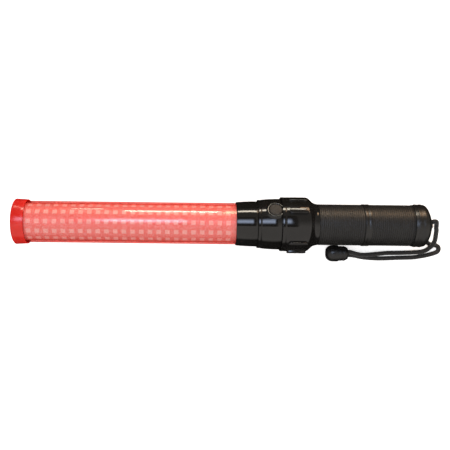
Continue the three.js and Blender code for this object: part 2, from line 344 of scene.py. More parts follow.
def add_node(
    owner: bpy.types.ID, kind: str, sockets: dict | None = None, **settings: object
) -> bpy.types.Node:
    """Adds a shader node with its settings and links.

    Args:
        owner: The material or world.
        kind: The node's type without the leading "ShaderNode".
        sockets: Input name or number to a value, or to another node's output.
        **settings: The node's own settings. "stops" fills a colour ramp with (place, colour) pairs.

    Returns:
        The node.
    """
    node = owner.node_tree.nodes.new("ShaderNode" + kind)
    for key, value in settings.items():
        if key == "stops":
            ramp = node.color_ramp.elements
            while len(ramp) < len(value):
                ramp.new(0.5)
            for element, (place, colour) in zip(ramp, value, strict=True):
                element.position = place
                element.color = colour
        else:
            setattr(node, key, value)
    for key, value in (sockets or {}).items():
        if isinstance(value, bpy.types.NodeSocket):
            owner.node_tree.links.new(value, node.inputs[key])
        else:
            node.inputs[key].default_value = value
    return node


def new_material(name: str) -> bpy.types.Material:
    """Makes an empty node material.

    Args:
        name: Its name.

    Returns:
        The material, with no nodes.
    """
    material = bpy.data.materials.new(name)
    material.use_nodes = True
    material.node_tree.nodes.clear()
    return material


def show(material: bpy.types.Material, shader: bpy.types.Node) -> bpy.types.Material:
    """Links a shader to the material's surface.

    Args:
        material: The material.
        shader: Its last node.

    Returns:
        The material.
    """
    add_node(material, "OutputMaterial", {"Surface": shader.outputs[0]})
    return material


def place_of(owner: bpy.types.ID) -> Socket:
    """Returns the place on a piece, in metres from the frame's origin."""
    return add_node(owner, "TexCoord").outputs["Object"]


def noise(owner: bpy.types.ID, place: Socket, size: float, detail: float) -> Socket:
    """Adds noise with features of about a size in millimetres, and returns its value."""
    sockets = {"Vector": place, "Scale": per_metre(size), "Detail": detail}
    return add_node(owner, "TexNoise", sockets).outputs[0]


def drawn_noise(owner: bpy.types.ID, place: Socket, sizes: Sequence[float], detail: float) -> Socket:
    """Adds noise that is drawn out along one axis or more.

    Args:
        owner: The material or world.
        place: The place on the piece.
        sizes: The features' size along X, Y and Z in millimetres.
        detail: How many finer layers are added.

    Returns:
        The noise's value.
    """
    drawn = add_node(owner, "Mapping", {"Vector": place, "Scale": [per_metre(s) for s in sizes]})
    sockets = {"Vector": drawn.outputs[0], "Scale": 1.0, "Detail": detail}
    return add_node(owner, "TexNoise", sockets).outputs[0]


def tones(owner: bpy.types.ID, value: Socket, *stops: tuple[float, str]) -> Socket:
    """Turns a value to a colour by (place, sRGB hex) stops."""
    steps = [(place, linear(code)) for place, code in stops]
    return add_node(owner, "ValToRGB", {"Fac": value}, stops=steps).outputs[0]


def spread(owner: bpy.types.ID, value: Socket, taken: Range, given: Range) -> Socket:
    """Maps a value from one range to another.

    Args:
        owner: The material or world.
        value: The value.
        taken: The range that it comes in.
        given: The range that it goes to.

    Returns:
        The new value.
    """
    sockets = {"Value": value, "From Min": taken[0], "From Max": taken[1]}
    sockets |= {"To Min": given[0], "To Max": given[1]}
    return add_node(owner, "MapRange", sockets).outputs[0]


def relief(owner: bpy.types.ID, height: Socket, depth: float, strength: float = 1.0) -> Socket:
    """Bends the surface's normal over bumps of a depth in millimetres."""
    sockets = {"Height": height, "Distance": depth * MM, "Strength": strength}
    return add_node(owner, "Bump", sockets).outputs[0]


@dataclass(frozen=True)
class Finish:
    """A surface finish, which makes one material the first time it is asked for."""

    name: str

    def make(self) -> bpy.types.Material:
        """Builds the material."""
        raise NotImplementedError

    def material(self) -> bpy.types.Material:
        """Returns the finish's material, made once."""
        return bpy.data.materials.get(self.name) or self.make()


@dataclass(frozen=True)
class Moulded(Finish):
    """Plastic or rubber out of a mould: one colour with slow tone clouds and a fine tool grain."""

    colour: str
    tone: str
    gloss: Range
    ior: float
    cloud_mm: float
    grain_mm: float
    grain_depth_mm: float
    haze_mm: float = 3.0

    def make(self) -> bpy.types.Material:
        """Builds the material."""
        m = new_material(self.name)
        place = place_of(m)
        cloud = noise(m, place, self.cloud_mm, 4.0)
        haze = noise(m, place, self.haze_mm, 6.0)
        grain = noise(m, place, self.grain_mm, 3.0)
        shader = add_node(
            m,
            "BsdfPrincipled",
            {
                "Base Color": tones(m, cloud, (0.35, self.tone), (0.65, self.colour)),
                "Roughness": spread(m, haze, (0.3, 0.7), self.gloss),
                "Normal": relief(m, grain, self.grain_depth_mm),
                "IOR": self.ior,
            },
        )
        return show(m, shader)


@dataclass(frozen=True)
class Metal(Finish):
    """Bright metal with a drawn or brushed grain along one axis."""

    colour: str
    tone: str
    gloss: Range
    grain_mm: tuple[float, float, float]
    grain_depth_mm: float = 0.004

    def make(self) -> bpy.types.Material:
        """Builds the material."""
        m = new_material(self.name)
        grain = drawn_noise(m, place_of(m), self.grain_mm, 5.0)
        shader = add_node(
            m,
            "BsdfPrincipled",
            {
                "Base Color": tones(m, grain, (0.3, self.tone), (0.7, self.colour)),
                "Metallic": 1.0,
                "Roughness": spread(m, grain, (0.0, 1.0), self.gloss),
                "Normal": relief(m, grain, self.grain_depth_mm),
            },
        )
        return show(m, shader)


@dataclass(frozen=True)
class ClearTube(Finish):
    """Extruded clear red polycarbonate: light passes through, redder where the wall is seen aslant.

    Its polished outer skin mirrors the lights; the inner face has no mirror of its own.
    """

    tint: str = "#fff0ed"
    edge_tint: str = "#f7b3ac"
    body: str = "#e2463b"
    haze: float = 0.1
    polish: float = 0.05
    ior: float = 1.58
    wave_mm: tuple[float, float, float] = (90.0, 9.0, 9.0)
    wave_depth_mm: float = 0.05
    wave_strength: float = 0.4

    def make(self) -> bpy.types.Material:
        """Builds the material."""
        m = new_material(self.name)
        waves = drawn_noise(m, place_of(m), self.wave_mm, 2.0)
        bump = relief(m, waves, self.wave_depth_mm, self.wave_strength)
        slant = add_node(m, "LayerWeight", {"Blend": 0.5}).outputs["Facing"]
        depth = tones(m, slant, (0.45, self.tint), (0.72, self.edge_tint), (0.95, self.body))
        through = add_node(m, "BsdfTransparent", {"Color": depth})
        milk = add_node(m, "BsdfDiffuse", {"Color": linear(self.body)})
        plastic = add_node(m, "MixShader", {0: self.haze, 1: through.outputs[0], 2: milk.outputs[0]})
        polished = {"Color": linear("#ffffff"), "Roughness": self.polish, "Normal": bump}
        skin = add_node(m, "BsdfGlossy", polished)
        edge = add_node(m, "Fresnel", {"IOR": self.ior, "Normal": bump})
        inner_face = add_node(m, "NewGeometry").outputs["Backfacing"]
        outer_face = add_node(m, "Math", {0: 1.0, 1: inner_face}, operation="SUBTRACT")
        shares = {0: edge.outputs[0], 1: outer_face.outputs[0]}
        mirror = add_node(m, "Math", shares, operation="MULTIPLY")
        layers = {0: mirror.outputs[0], 1: plastic.outputs[0], 2: skin.outputs[0]}
        return show(m, add_node(m, "MixShader", layers))


@dataclass(frozen=True)
class EmbossedFilm(Finish):
    """PET film, hot embossed with small prisms that break up what it mirrors."""

    deep: str = "#fba6a3"
    pale: str = "#ffd6d6"
    prism_mm: float = 1.3
    veil_mm: float = 2.6
    relief_mm: float = 0.16
    metallic: float = 0.25
    roughness: float = 0.42

    def make(self) -> bpy.types.Material:
        """Builds the material."""
        m = new_material(self.name)
        place = place_of(m)
        cells = {"Vector": place, "Scale": per_metre(self.prism_mm)}
        prisms = add_node(m, "TexVoronoi", cells, feature="F1").outputs["Distance"]
        veil = noise(m, place, self.veil_mm, 5.0)
        mixed = add_node(m, "Mix", {0: 0.5, "A": prisms, "B": veil}, data_type="FLOAT").outputs[0]
        shader = add_node(
            m,
            "BsdfPrincipled",
            {
                "Base Color": tones(m, mixed, (0.3, self.pale), (0.62, self.deep)),
                "Metallic": self.metallic,
                "Roughness": self.roughness,
                "Normal": relief(m, mixed, self.relief_mm),
            },
        )
        return show(m, shader)


@dataclass(frozen=True)
class BraidedCord(Finish):
    """Polyester cord braided from dull black yarn; each strand shows its filaments."""

    dark: str = "#141312"
    light: str = "#2c2a28"
    yarn_mm: float = 0.35
    yarn_stretch: float = 3.0
    yarn_slant: float = 32.0
    yarn_depth_mm: float = 0.05

    def make(self) -> bpy.types.Material:
        """Builds the material."""
        m = new_material(self.name)
        place = add_node(m, "UVMap", uv_map="braid").outputs[0]
        laid = {
            "Vector": place,
            "Scale": (1 / self.yarn_mm, 1 / self.yarn_mm / self.yarn_stretch, 1.0),
            "Rotation": (0, 0, math.radians(self.yarn_slant)),
        }
        strands = add_node(m, "Mapping", laid).outputs[0]
        filaments = {"Vector": strands, "Scale": 1.0, "Detail": 4.0}
        yarn = add_node(m, "TexNoise", filaments).outputs[0]
        shader = add_node(
            m,
            "BsdfPrincipled",
            {
                "Base Color": tones(m, yarn, (0.3, self.dark), (0.75, self.light)),
                "Roughness": 0.75,
                "Normal": relief(m, yarn, self.yarn_depth_mm),
                "Sheen Weight": 0.3,
                "Sheen Roughness": 0.4,
            },
        )
        return show(m, shader)


@dataclass(frozen=True)
class Banded(Finish):
    """A printed or plated pattern of bands along X, such as a cell's jacket or a board's tracks."""

    first: str
    second: str
    band_mm: float
    share: float
    metallic: float
    roughness: float
    fine_mm: float = 0.8
    fine_depth_mm: float = 0.01

    def make(self) -> bpy.types.Material:
        """Builds the material."""
        m = new_material(self.name)
        place = place_of(m)
        scale = per_metre(self.band_mm) / WAVE_FIT
        bands = {"Vector": place, "Scale": scale, "Distortion": 0.4, "Detail Scale": 2.0}
        wave = add_node(m, "TexWave", bands, bands_direction="X").outputs[0]
        edges = ((self.share - 0.01, self.second), (self.share + 0.01, self.first))
        fine = noise(m, place, self.fine_mm, 4.0)
        shader = add_node(
            m,
            "BsdfPrincipled",
            {
                "Base Color": tones(m, wave, *edges),
                "Metallic": self.metallic,
                "Roughness": self.roughness,
                "Normal": relief(m, fine, self.fine_depth_mm),
            },
        )
        return show(m, shader)


# Moulded finishes: name, colour, tone, roughness range, IOR, cloud size, grain size, grain depth.

# Solid red ABS gives an even, strong red with a soft sheen along the cap's edge.
RED_ABS = Moulded("abs_red_moulded", "#d9251a", "#c81f16", (0.16, 0.26), 1.54, 18, 0.8, 0.006)
# ABS from a polished mould gives near-mirror black, with long clear highlights.
GLOSS_ABS = Moulded("abs_black_polished_mould", "#191817", "#141312", (0.07, 0.12), 1.54, 20, 1.5, 0.002)
# ABS from an etched mould gives a softer black, with wide dim highlights.
SATIN_ABS = Moulded("abs_black_satin_mould", "#1d1c1a", "#161514", (0.28, 0.38), 1.54, 16, 0.35, 0.008)
# Nylon gives a black with a waxy, slightly uneven sheen.
NYLON = Moulded("nylon_black_moulded", "#1c1b1a", "#131212", (0.25, 0.4), 1.53, 6, 0.4, 0.01)
# Rubber with a moulded skin gives a matt warm black that only catches light on its ribs.
GRIP_RUBBER = Moulded("rubber_black_ribbed_mould", "#201f1d", "#191817", (0.42, 0.55), 1.52, 12, 0.3, 0.02)
# Silicone gives a dull grey, blotched and grainy, with no clear highlight.
BUTTON_RUBBER = Moulded("silicone_grey_moulded", "#3f3b36", "#252220", (0.55, 0.7), 1.43, 1.3, 0.6, 0.08)
# Nitrile rubber gives a plain dull black.
SEAL_RUBBER = Moulded("nitrile_black_moulded", "#161616", "#101010", (0.45, 0.6), 1.52, 5, 0.4, 0.01)
# Unpainted white ABS gives a warm, slightly soft white.
WHITE_ABS = Moulded("abs_white_moulded", "#e6e3da", "#dcd8cd", (0.4, 0.5), 1.54, 12, 0.5, 0.006)
# ABS from a plain mould gives a flat dark grey.
DARK_ABS = Moulded("abs_dark_moulded", "#2a2a28", "#20201f", (0.4, 0.5), 1.54, 8, 0.4, 0.006)
# Extruded PVC gives a smooth wire jacket with a soft sheen.
RED_PVC = Moulded("pvc_red_extruded", "#b3261e", "#9c201a", (0.35, 0.45), 1.53, 6, 0.4, 0.004)
# The same jacket in black.
BLACK_PVC = Moulded("pvc_black_extruded", "#1d1d1d", "#151515", (0.35, 0.45), 1.53, 6, 0.4, 0.004)
# Cast epoxy over the phosphor gives a shiny pale yellow.
LAMP_RESIN = Moulded("epoxy_lamp_cast", "#f1e7b4", "#e9d98c", (0.15, 0.25), 1.5, 3, 0.6, 0.004)
# Film pressed flat in the squares gives bright white patches behind the red wall.
FILM_MIRROR = Moulded("pet_film_square_embossed", "#ffffff", "#fff0ec", (0.2, 0.3), 1.6, 2, 0.7, 0.02)

# Metal finishes: name, colour, tone, roughness range, grain size along X, Y and Z.

# Nickel plate gives a pale grey metal, worn to a satin.
NICKEL = Metal("steel_nickel_plated", "#e6e6e8", "#cfd0d3", (0.4, 0.5), (2.0, 0.4, 0.4))
# Drawn wire gives a bright steel with fine lines along it.
SPRING = Metal("steel_spring_drawn", "#c9c9c4", "#a9a9a4", (0.25, 0.35), (3.0, 0.2, 0.2))
# Rolled brass gives a yellow metal with brushed lines.
BRASS = Metal("brass_rolled", "#c9a356", "#b08a42", (0.25, 0.4), (4.0, 0.3, 0.3))

# A clear red wall gives a see-through red that deepens towards the tube's edges.
TUBE = ClearTube("polycarbonate_red_extruded")
# Small prisms give a pink shimmer in place of a clear mirror.
FILM = EmbossedFilm("pet_film_hot_embossed")
# Braided yarn gives a dull black with short slanted threads.
CORD = BraidedCord("polyester_black_braided")

# Banded finishes: name, first colour, second colour, band size, share, metallic, roughness.

# A printed steel jacket gives a shiny cell, copper colour over black.
CELL = Banded("steel_jacket_printed", "#b98a4a", "#22201e", 41, 0.35, 0.9, 0.32)
# Solder mask over copper tracks gives two close greens.
BOARD = Banded("glass_fibre_board_masked", "#3d7a52", "#5e9a6c", 2.2, 0.3, 0.0, 0.4)


def fit(
    piece: bpy.types.Object, finish: Finish, body: Body, slot: str, *nodes: str
) -> bpy.types.Object:
    """Dresses a finished piece and hands it to the frame.

    Args:
        piece: The piece.
        finish: Its finish.
        body: The CAD body that it rides on.
        slot: The record's material slot; not used.
        *nodes: The CAD nodes that it stands for.

    Returns:
        The piece.
    """
    piece.data.materials.clear()
    piece.data.materials.append(finish.material())
    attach(piece, body.value)
    if nodes:
        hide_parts(*nodes)
    log.info("%s: %d faces on %s", piece.name, len(piece.data.polygons), body.value)
    return piece


# ---------------------------------------------------------------- the light


@dataclass
class LightSection:
    """The red tip cap, the clear tube and the embossed film inside it."""

    tip: float = -207.1
    skirt_edge: float = -194.8
    tube: tuple[float, float] = (-203.9, 20.9)
    tube_radii: tuple[float, float] = (19.1, 20.6)
    film: tuple[float, float] = (-198.2, 13.6)
    film_radii: tuple[float, float] = (18.3, 18.6)
    square: float = 4.4
    square_top: float = 18.75
    first_square: float = -190.7
    square_pitch: float = 8.48
    square_thick: float = 0.3
    square_rim: float = 0.25
    square_dish: float = 0.08
    square_slope: float = 1.2
    columns: int = 24
    rows: int = 12
    row_phase: float = 1.5

    def tip_cap(self) -> bpy.types.Object:
        """Turns the cap: a skirt over the tube, a flat end with a shallow moulded ring and gate."""
        tip = self.tip
        outline = [
            (tip + 0.35, 0), (tip + 0.35, 2.6), (tip, 3.1), (tip, 16.8), (tip + 0.35, 17.2),
            (tip + 0.35, 18.2), (tip, 18.6), (tip, 21.9), (tip + 0.8, 22.75),
            (self.skirt_edge, 22.05), (self.skirt_edge, 20.85), (tip + 2.9, 20.85),
            (tip + 2.9, 18.75), (tip + 8.6, 18.75), (tip + 8.6, 17.2), (tip + 2.9, 17.2),
            (tip + 2.9, 0),
        ]
        return BATON.turn("red_tip_cap", outline, 0.25, 3)

    def clear_tube(self) -> bpy.types.Object:
        """Turns the clear tube, an open pipe with softened ends."""
        (x0, x1), (inner, outer) = self.tube, self.tube_radii
        return BATON.turn("clear_red_tube", [(x0, inner), (x0, outer), (x1, outer), (x1, inner)], 0.2)

    def film_roll(self) -> bpy.types.Object:
        """Turns the rolled film."""
        (x0, x1), (inner, outer) = self.film, self.film_radii
        return BATON.turn("embossed_film", [(x0, inner), (x0, outer), (x1, outer), (x1, inner)], 0.1, 1)

    def squares(self) -> bpy.types.Object:
        """Models one raised square of the film, rows it along X and turns the row round the axis.

        Returns:
            All the squares as one piece, each with a dished slope round a flat middle.
        """
        deselect_all()
        size = (self.square, self.square, self.square_thick)
        height = AXIS_HEIGHT + (self.square_top - self.square_thick / 2) * MM
        place = Vector((self.first_square * MM, 0, height))
        bpy.ops.mesh.primitive_cube_add(size=MM, location=place, scale=size)
        piece = named("film_squares")
        bpy.ops.object.mode_set(mode="EDIT")
        select_parts(piece, "FACE", lambda middle, normal: normal.z > 0.9)
        bpy.ops.mesh.inset(thickness=self.square_rim * MM, depth=0)
        bpy.ops.transform.translate(value=(0, 0, -self.square_dish * MM))
        bpy.ops.mesh.inset(thickness=self.square_slope * MM, depth=0)
        bpy.ops.transform.translate(value=(0, 0, self.square_dish * MM))
        bpy.ops.object.mode_set(mode="OBJECT")
        apply_modifier(
            piece,
            "ARRAY",
            count=self.columns,
            use_relative_offset=False,
            use_constant_offset=True,
            constant_offset_displace=(self.square_pitch * MM, 0, 0),
        )
        bpy.ops.object.mode_set(mode="EDIT")
        bpy.ops.mesh.select_all(action="SELECT")
        bpy.ops.mesh.spin(
            steps=self.rows - 1,
            angle=FULL_TURN * (self.rows - 1) / self.rows,
            dupli=True,
            center=BATON.centre,
            axis=X_WAY,
        )
        bpy.ops.object.mode_set(mode="OBJECT")
        middle = Matrix.Translation(BATON.centre)
        phase = Matrix.Rotation(math.radians(-self.row_phase), 4, "X")
        piece.data.transform(middle @ phase @ middle.inverted())
        clean(piece)
        return piece

    def build(self) -> None:
        """Builds and dresses the light's pieces."""
        fit(self.tip_cap(), RED_ABS, Body.HANDLE, "red_cap", "tip_cap")
        fit(self.clear_tube(), TUBE, Body.HANDLE, "red_tube", "light_tube")
        fit(self.film_roll(), FILM, Body.HANDLE, "film", "prism_film")
        fit(self.squares(), FILM_MIRROR, Body.HANDLE, "film")


# ---------------------------------------------------------------- the head


@dataclass
class Head:
    """The glossy collar, the switch housing with its raised bezel, and the push button."""

    collar: tuple[float, float] = (12.1, 33.1)
    housing: tuple[float, float] = (33.4, 56.1)
    switch_x: float = 49.8
    clip_reach: float = 100.0
    hole: float = 6.75
    button: float = 6.4
    dot_rings: tuple[tuple[float, float, int], ...] = ((1.5, 26.85, 6), (3.2, 26.7, 10))
    dot_radius: float = 0.38

    def switch_lathe(self) -> Lathe:
        """Returns the lathe round the push switch's axis, measured out from the baton's axis."""
        return Lathe(BATON.centre + X_WAY * self.switch_x * MM, SWITCH_WAY, X_WAY, 64)

    def collar_shell(self) -> bpy.types.Object:
        """Turns the collar, a slightly tapered sleeve over the tube's end."""
        x0, x1 = self.collar
        outline = [
            (x0, 20.85), (x0, 21.6), (16.0, 21.95), (21.0, 22.25), (27.0, 22.47), (x1, 22.55),
            (x1, 18.5), (22.7, 18.5), (22.7, 20.85),
        ]
        return BATON.turn("collar_shell", outline, 0.3, 3)

    def housing_shell(self) -> bpy.types.Object:
        """Turns the housing with its groove, adds the bezel and cuts the button's hole.

        Returns:
            The housing as one solid.
        """
        x0, x1 = self.housing
        outline = [
            (23, 15.2), (23, 18.2), (x0, 18.2), (x0, 23.95), (35.7, 24.15), (36.2, 23.7),
            (36.7, 24.25), (40.0, 24.6), (44.0, 24.92), (48.6, 25.15), (x1, 25.3), (x1, 22),
            (36.5, 20.9), (36.5, 15.2),
        ]
        shell = BATON.turn("housing_shell", outline, 0.2, 2)
        lathe = self.switch_lathe()
        bezel_outline = [
            (19.6, 0), (19.6, 7.7), (24.0, 9.9), (25.3, 8.5), (26.0, 7.9), (26.0, 7.2),
            (25.4, 6.5), (25.4, 0),
        ]
        bezel = lathe.turn("bezel", bezel_outline, 0.2, 2)
        deselect_all()
        reach = self.clip_reach * MM
        clip_place = Vector((x1 * MM - reach / 2, 0, AXIS_HEIGHT))
        bpy.ops.mesh.primitive_cube_add(size=reach, location=clip_place)
        carve(bezel, named("bezel_clip"), "INTERSECT")
        carve(shell, bezel, "UNION")
        hole = lathe.spin("button_hole", [(15, 0), (15, self.hole), (30, self.hole), (30, 0)])
        carve(shell, hole, "DIFFERENCE")
        smooth(shell)
        return shell

    def button_cap(self) -> bpy.types.Object:
        """Turns the rubber button: a flange under the housing and a low dome with a pressed ring."""
        outline = [
            (17.9, 0), (17.9, 7.4), (19.1, 7.4), (19.1, self.button), (25.5, self.button),
            (26.1, 5.9), (26.55, 5.2), (26.35, 4.7), (26.6, 4.1), (26.85, 2.6), (26.95, 0),
        ]
        return self.switch_lathe().turn("button_cap", outline, 0.2, 2)

    def button_dots(self) -> bpy.types.Object:
        """Models one raised dot and repeats it in two rings over the button's dome.

        Returns:
            All the dots as one piece.
        """
        lathe = self.switch_lathe()
        across = SWITCH_WAY.cross(X_WAY)
        dots = []
        for ring, (radius, height, count) in enumerate(self.dot_rings):
            for i in range(count):
                spot = FULL_TURN * (i + 0.5 * ring) / count
                spoke = X_WAY * math.cos(spot) + across * math.sin(spot)
                place = lathe.at(height, 0) + spoke * radius * MM
                size = self.dot_radius * MM
                deselect_all()
                bpy.ops.mesh.primitive_ico_sphere_add(subdivisions=2, radius=size, location=place)
                dots.append(named(f"dot_{ring}_{i}"))
        piece = joined("button_dots", dots)
        smooth(piece, 60)
        return piece

    def build(self) -> None:
        """Builds and dresses the head's pieces."""
        fit(self.collar_shell(), GLOSS_ABS, Body.HANDLE, "gloss_black", "tube_collar")
        fit(self.housing_shell(), GLOSS_ABS, Body.HANDLE, "gloss_black", "switch_housing")
        fit(self.button_cap(), BUTTON_RUBBER, Body.BUTTON, "button_rubber", "switch_button")
        fit(self.button_dots(), BUTTON_RUBBER, Body.BUTTON, "button_rubber")


# ---------------------------------------------------------------- the handle


@dataclass
class Handle:
    """The guard ring with its ribs, the handle tube and the two ribbed grip sleeves."""

    ring_front: float = 56.4
    ring_radius: float = 26.95
    rib_top: float = 28.9
    rib_size: tuple[float, float, float] = (19.0, 5.4, 3.4)
    rib_roundness: float = 0.98
    rib_edge: float = 0.7
    rib_x: float = 72.1
    rib_angles: tuple[int, ...] = (-62, -28, 44, 80, 116, 152, 188, 224)
    grips: tuple[tuple[float, float, float], ...] = ((93.6, 137.3, 20.35), (144.5, 184.9, 20.35))
    grip_bore: float = 18.95
    grip_pitch: float = 2.0
    grip_depth: float = 0.38
    plain_ends: float = 1.6
    thread_start: float = 187.3
    thread_pitch: float = 2.5
    thread_crests: int = 3

    def guard_ring(self) -> bpy.types.Object:
        """Turns the guard ring: a lip and groove in front, a full band, and the fall to the grip."""
        x0, outer = self.ring_front, self.ring_radius
        outline = [
            (x0, 23.8), (x0, outer), (59.5, outer), (60, 26.55), (60.5, outer), (81.3, outer),
            (82.3, 26.7), (83.4, 26.1), (84.6, 25.2), (86.1, 23.7), (87.6, 22.3), (89.2, 21.4),
            (91, 20.8), (93.3, 20.35), (93.3, 19), (76, 19), (76, 23.8),
        ]
        return BATON.turn("guard_ring_shell", outline, 0.3, 3)

    def rib(self) -> bpy.types.Object:
        """Models one long rib with round ends and soft edges, standing over the axis.

        Returns:
            The rib.
        """
        length, width, height = self.rib_size
        place = Vector((self.rib_x * MM, 0, AXIS_HEIGHT + (self.rib_top - height / 2) * MM))
        deselect_all()
        bpy.ops.mesh.primitive_cube_add(size=MM, location=place, scale=(length, width, height))
        piece = named("guard_rib")
        bpy.ops.object.mode_set(mode="EDIT")
        select_parts(piece, "EDGE", lambda middle, way: abs(way.z) > 0.9)
        bpy.ops.mesh.bevel(offset=self.rib_roundness * width / 2 * MM, segments=8, affect="EDGES")
        top = place.z + height / 2 * MM - WELD
        select_parts(piece, "EDGE", lambda middle, way: middle.z > top)
        bpy.ops.mesh.bevel(offset=self.rib_edge * MM, segments=4, affect="EDGES")
        bpy.ops.object.mode_set(mode="OBJECT")
        clean(piece)
        smooth(piece)
        return piece

    def ribs(self) -> list[bpy.types.Object]:
        """Copies the rib to each place round the guard ring.

        Returns:
            The ribs, in the order of their angles.
        """
        first = self.rib()
        middle = Matrix.Translation(BATON.centre)
        made = []
        for number, angle in enumerate(self.rib_angles, 1):
            turn = middle @ Matrix.Rotation(math.radians(angle), 4, "X") @ middle.inverted()
            made.append(copy_of(first, f"guard_rib_{number}", turn))
        bpy.data.objects.remove(first)
        return made

    def tube(self) -> bpy.types.Object:
        """Turns the handle tube, with the raised band between the grips and the thread's crests.

        Returns:
            The tube.
        """
        outline = [
            (58.5, 17.5), (58.5, 18.75), (137.6, 18.75), (137.6, 20.85), (140.3, 20.85),
            (140.9, 20.55), (141.5, 20.85), (144.2, 20.85), (144.2, 18.75), (187.0, 18.75),
        ]
        for turn in range(self.thread_crests):
            x = self.thread_start + turn * self.thread_pitch
            outline += [(x, 18.75), (x + 0.5, 18.2), (x + 1.3, 18.2), (x + 1.8, 18.75)]
        outline += [(196.4, 18.75), (196.4, 17.5)]
        return BATON.turn("handle_barrel", outline, 0.3, 3)

    def grip(self, name: str, x0: float, x1: float, outer: float) -> bpy.types.Object:
        """Turns a grip sleeve with a fine round rib every pitch.

        Args:
            name: The piece's name.
            x0: Its front end.
            x1: Its rear end.
            outer: The radius over its ribs.

        Returns:
            The sleeve.
        """
        root = outer - self.grip_depth
        count = int((x1 - x0 - self.plain_ends) / self.grip_pitch)
        start = (x0 + x1 - count * self.grip_pitch) / 2
        outline = [(x0, self.grip_bore), (x0, outer), (start - 0.25, outer)]
        for i in range(count):
            x = start + i * self.grip_pitch
            outline += [(x + 0.05, root), (x + 0.45, root)]
            outline += [(x + rise, outer) for rise in (0.75, 1.25, 1.75)]
        x = start + count * self.grip_pitch
        outline += [(x + 0.05, root), (x + 0.45, root), (x + 0.7, outer)]
        outline += [(x1, outer), (x1, self.grip_bore)]
        piece = BATON.spin(name, outline)
        smooth(piece, 30)
        return piece

    def build(self) -> None:
        """Builds and dresses the handle's pieces."""
        fit(self.guard_ring(), GLOSS_ABS, Body.HANDLE, "gloss_black", "guard_ring")
        for rib in self.ribs():
            fit(rib, GLOSS_ABS, Body.HANDLE, "gloss_black")
        fit(self.tube(), SATIN_ABS, Body.HANDLE, "handle_plastic", "handle_tube")
        for place, size in zip(("front", "rear"), self.grips, strict=True):
            sleeve = self.grip(f"grip_sleeve_{place}", *size)
            fit(sleeve, GRIP_RUBBER, Body.HANDLE, "grip_rubber", f"{place}_grip")


# ---------------------------------------------------------------- the end


@dataclass
class EndCap:
    """The screw end cap with its seal and the swivel eye for the cord."""

    eye_x: float = 205.6
    eye_half: float = 1.7
    eye_radii: tuple[float, float] = (2.65, 3.95)

    def cap(self) -> bpy.types.Object:
        """Turns the cap: two bead rings, a rounded end and the recess that holds the eye."""
        outline = [
            (186.6, 19), (186.6, 20.6), (189.2, 20.8), (189.9, 21.35), (190.9, 21.4),
            (191.7, 21.15), (193.8, 21.15), (194.8, 21.4), (195.8, 21.45), (196.8, 21.15),
            (198.4, 20.85), (199.6, 20.3), (200.7, 19.2), (201.8, 17.3), (203.2, 14.7),
            (204.4, 11.8), (205.2, 9.6), (205.1, 9.0), (201.1, 8.6), (201.1, 2.4), (198.2, 2.4),
            (198.2, 19),
        ]
        return BATON.turn("end_cap_shell", outline, 0.25, 2)

    def seal(self) -> bpy.types.Object:
        """Turns the seal ring between the grip and the cap."""
        outline = [
            (185.25, 19.1), (185.15, 19.4), (185.4, 20.2), (186.1, 20.2), (186.3, 19.4), (186.2, 19.1)
        ]
        return BATON.turn("seal_ring", outline, 0.1, 2)

    def eye(self) -> bpy.types.Object:
        """Turns the riveted shank and the round eye, and joins them.

        Returns:
            The swivel eye.
        """
        shank_outline = [
            (196.2, 0), (196.2, 3.2), (197.9, 3.8), (197.9, 2.0), (201.4, 2.0), (201.4, 3.3), (202.4, 3.3),
            (202.6, 2.2), (202.8, 1.4), (202.8, 0)
        ]
        shank = BATON.turn("swivel_shank", shank_outline, 0.15, 2)
        lathe = Lathe(BATON.centre + X_WAY * self.eye_x * MM, SWITCH_WAY, X_WAY, 48)
        half, (inner, outer) = self.eye_half, self.eye_radii
        section = [(-half, inner), (-half, outer), (half, outer), (half, inner)]
        ring = lathe.turn("eye_ring", section, 0.5, 4)
        piece = joined("swivel_eye", [shank, ring])
        smooth(piece)
        return piece

    def build(self) -> None:
        """Builds and dresses the end's pieces."""
        fit(self.cap(), SATIN_ABS, Body.CAP, "handle_plastic", "end_cap")
        fit(self.seal(), SEAL_RUBBER, Body.HANDLE, "seal_rubber", "cap_seal")
        fit(self.eye(), NICKEL, Body.CARRIAGE, "eye_steel", "lanyard_eye")


# ---------------------------------------------------------------- the wrist cord


